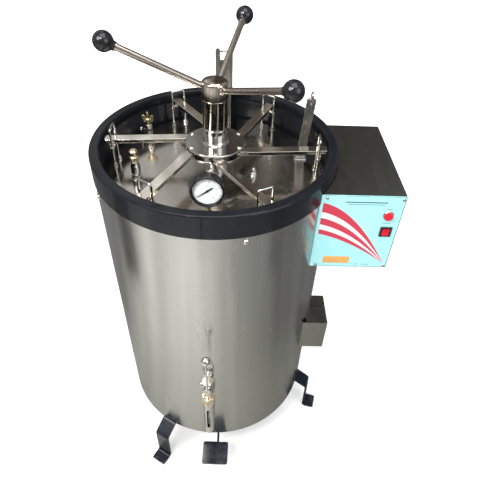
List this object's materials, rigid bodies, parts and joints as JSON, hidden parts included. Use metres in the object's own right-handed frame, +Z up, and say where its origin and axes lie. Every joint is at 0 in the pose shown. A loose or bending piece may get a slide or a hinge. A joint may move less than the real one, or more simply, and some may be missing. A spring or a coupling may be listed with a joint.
{
  "type": "vertical autoclave",
  "caption": "Floor-standing steel steriliser drum with a recessed lid, spoked lock wheel driving radial bars, pressure gauge, valves, side control box, level gauge, legs and foot pedal.",
  "frame": {"origin": "on the floor, under the middle of the machine's outline; the vessel axis stands 63.5 mm to the left of it and 8.6 mm behind it", "axes": "+Z up, parallel to the vessel axis, +X to the side with the control box, -Y to the front with the gauge dial and the pedal"},
  "size_m": [0.681, 0.6854, 1.2296],
  "materials": {
    "jacket_steel": "polished sheet, fine vertical grain",
    "vessel_steel": "satin",
    "lid_steel": "mirror polished",
    "ring_black": "glossy black enamel",
    "glass_wool": "soft mat",
    "silicone": "satin",
    "heater_steel": "heat tinted",
    "lead_sleeve": "satin",
    "leg_black": "glossy black enamel",
    "fastener_steel": "bright plated",
    "box_steel": "satin",
    "panel_paint": "satin print on sheet",
    "lamp_chrome": "bright",
    "lamp_red": "translucent gloss",
    "switch_black": "satin",
    "rocker_red": "translucent gloss",
    "fitting_chrome": "bright plated",
    "fitting_brass": "satin",
    "clear_glass": "clear",
    "bar_steel": "satin",
    "lock_chrome": "bright nickel chrome",
    "knob_black": "polished phenolic",
    "dial_white": "matt white",
    "needle_black": "matt"
  },
  "bodies": {
    "cabinet": {"outer_jacket": "jacket_steel", "base_plate": "jacket_steel", "inner_chamber": "vessel_steel", "locking_ring": "ring_black", "insulation": "glass_wool", "lid_gasket": "silicone", "heater_element": "heater_steel", "heater_leads": "lead_sleeve", "basket_stand": "vessel_steel", "basket": "vessel_steel", "leg_left": "leg_black", "leg_right": "leg_black", "leg_rear": "leg_black", "leg_bolts": "fastener_steel", "cover_screws": "fastener_steel", "control_box": "box_steel", "control_panel": "panel_paint", "lamp_bezel": "lamp_chrome", "lamp_lens": "lamp_red", "switch_bezel": "switch_black", "contactor": "switch_black", "terminal_box": "box_steel", "level_cock": "fitting_chrome", "level_guard": "fitting_chrome", "level_glass": "clear_glass", "level_foot": "fitting_brass", "pedal_bracket": "leg_black", "pivot_pin": "fastener_steel", "column_guides": "box_steel"},
    "lid": {"lid_plate": "lid_steel", "spindle_bolt": "lock_chrome", "lift_column": "bar_steel", "lid_lug": "bar_steel", "lug_loop": "fastener_steel", "arm_guides": "lock_chrome", "lid_fasteners": "fastener_steel", "gauge_stem": "fitting_brass", "gauge_case": "switch_black", "gauge_dial": "dial_white", "gauge_glass": "clear_glass", "safety_valve": "fitting_chrome", "vent_valve": "fitting_chrome"},
    "lock_wheel": {"handle_head": "lock_chrome", "spokes": "lock_chrome", "ball_knobs": "knob_black", "arm_disc": "lock_chrome", "arm_pins": "lock_chrome"},
    "pedal": {"pedal_lever": "leg_black"},
    "rocker_switch": {"rocker": "rocker_red"},
    "bail": {"bail_handle": "vessel_steel"},
    "level_key": {"cock_key": "fitting_chrome"},
    "needle": {"gauge_needle": "needle_black"},
    "relief_cap": {"safety_cap": "fitting_brass"},
    "vent_wing": {"vent_knob": "fitting_brass"},
    "arm_1": {"arm_1": "lock_chrome"},
    "arm_2": {"arm_2": "lock_chrome"},
    "arm_3": {"arm_3": "lock_chrome"},
    "arm_4": {"arm_4": "lock_chrome"},
    "arm_5": {"arm_5": "lock_chrome"},
    "arm_6": {"arm_6": "lock_chrome"}
  },
  "joints": [
    {"name": "lid_lift", "type": "slide", "parent": "cabinet", "child": "lid", "axis": [0, 0, 1], "range_m": [0, 0.11]},
    {"name": "pedal_press", "type": "hinge", "parent": "cabinet", "child": "pedal", "pos_m": [-0.0535, -0.0914, 0.0734], "axis": [1, 0, 0], "range_deg": [0, 16]},
    {"name": "lock_turn", "type": "hinge", "parent": "lid", "child": "lock_wheel", "pos_m": [-0.0635, 0.0086, 0.994], "axis": [0, 0, 1], "range_deg": [-6, 24]},
    {"name": "arm_1_swing", "type": "hinge", "parent": "lock_wheel", "child": "arm_1", "pos_m": [-0.00915, -0.01909, 0.98], "axis": [0, 0, 1], "range_deg": [-33, 9]},
    {"name": "arm_2_swing", "type": "hinge", "parent": "lock_wheel", "child": "arm_2", "pos_m": [-0.01234, 0.04182, 0.98], "axis": [0, 0, 1], "range_deg": [-33, 9]},
    {"name": "arm_3_swing", "type": "hinge", "parent": "lock_wheel", "child": "arm_3", "pos_m": [-0.06669, 0.06952, 0.98], "axis": [0, 0, 1], "range_deg": [-33, 9]},
    {"name": "arm_4_swing", "type": "hinge", "parent": "lock_wheel", "child": "arm_4", "pos_m": [-0.11785, 0.03629, 0.98], "axis": [0, 0, 1], "range_deg": [-33, 9]},
    {"name": "arm_5_swing", "type": "hinge", "parent": "lock_wheel", "child": "arm_5", "pos_m": [-0.11466, -0.02462, 0.98], "axis": [0, 0, 1], "range_deg": [-33, 9]},
    {"name": "arm_6_swing", "type": "hinge", "parent": "lock_wheel", "child": "arm_6", "pos_m": [-0.06031, -0.05232, 0.98], "axis": [0, 0, 1], "range_deg": [-33, 9]},
    {"name": "rocker_tip", "type": "hinge", "parent": "cabinet", "child": "rocker_switch", "pos_m": [0.315, -0.15042, 0.869], "axis": [1, 0, 0], "range_deg": [-14, 0]},
    {"name": "bail_swing", "type": "hinge", "parent": "cabinet", "child": "bail", "pos_m": [-0.0635, 0.0086, 0.688], "axis": [1, 0, 0], "range_deg": [-85, 85]},
    {"name": "level_key_turn", "type": "hinge", "parent": "cabinet", "child": "level_key", "pos_m": [-0.07554, -0.29116, 0.464], "axis": [-0.0401, -0.9992, 0], "range_deg": [-90, 0]},
    {"name": "needle_sweep", "type": "hinge", "parent": "lid", "child": "needle", "pos_m": [-0.0715, -0.1764, 0.981], "axis": [0, -0.9945, 0.1045], "range_deg": [-270, 0]},
    {"name": "relief_lift", "type": "slide", "parent": "lid", "child": "relief_cap", "axis": [0, 0, 1], "range_m": [0, 0.004]},
    {"name": "vent_turn", "type": "hinge", "parent": "lid", "child": "vent_wing", "pos_m": [-0.2355, 0.1296, 0.97], "axis": [0, 0, 1], "range_deg": [0, 360]}
  ],
  "couplings": [
    {"joint": "pedal_press", "follows": "lid_lift", "rad_per_m": 2.5},
    {"joint": "arm_1_swing", "follows": "lock_turn", "ratio": -1.332},
    {"joint": "arm_2_swing", "follows": "lock_turn", "ratio": -1.332},
    {"joint": "arm_3_swing", "follows": "lock_turn", "ratio": -1.332},
    {"joint": "arm_4_swing", "follows": "lock_turn", "ratio": -1.332},
    {"joint": "arm_5_swing", "follows": "lock_turn", "ratio": -1.332},
    {"joint": "arm_6_swing", "follows": "lock_turn", "ratio": -1.332}
  ]
}
